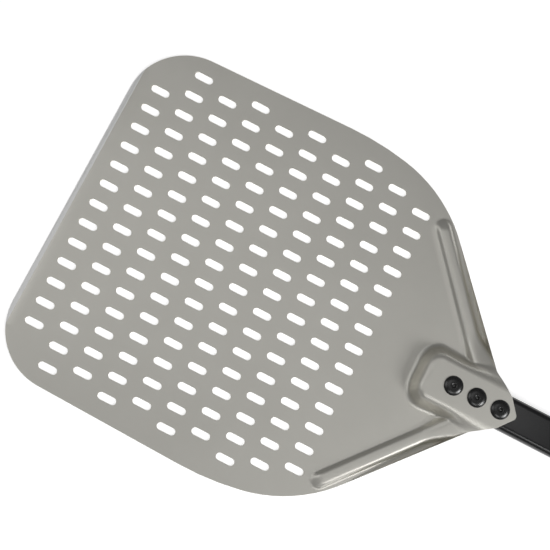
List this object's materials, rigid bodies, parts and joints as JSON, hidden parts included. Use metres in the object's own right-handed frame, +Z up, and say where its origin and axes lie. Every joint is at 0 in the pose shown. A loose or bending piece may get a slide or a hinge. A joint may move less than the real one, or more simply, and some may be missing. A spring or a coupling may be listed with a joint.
{
  "type": "pizza peel",
  "caption": "Flat perforated metal paddle for moving pizza in an oven, riveted over a flat rounded tube with a moulded grip and a hanging eye.",
  "frame": {"origin": "middle of the peel's footprint, on the surface that it lies on", "axes": "+X from the leading edge to the hanging eye, +Y across the blade, +Z up from the blade's underside"},
  "size_m": [0.79, 0.3106, 0.0213],
  "materials": {
    "blade_anodised": "warm grey satin anodised, with a lighter machined bevel on the leading edge",
    "tube_coat": "satin black coating",
    "rivet_black": "glossy black",
    "stem_steel": "bright broken steel stem",
    "grip_rubber": "soft matt black",
    "moulded_black": "matt black nylon"
  },
  "bodies": {
    "root": {"blade": "blade_anodised", "handle_tube": "tube_coat", "tube_front_plug": "moulded_black", "grip_sleeve": "grip_rubber", "end_cap": "moulded_black", "rivet_front_body": "rivet_black", "rivet_front_stem": "stem_steel", "rivet_middle_body": "rivet_black", "rivet_middle_stem": "stem_steel", "rivet_rear_body": "rivet_black", "rivet_rear_stem": "stem_steel", "grip_rivet_body": "rivet_black", "grip_rivet_stem": "stem_steel"}
  },
  "joints": []
}
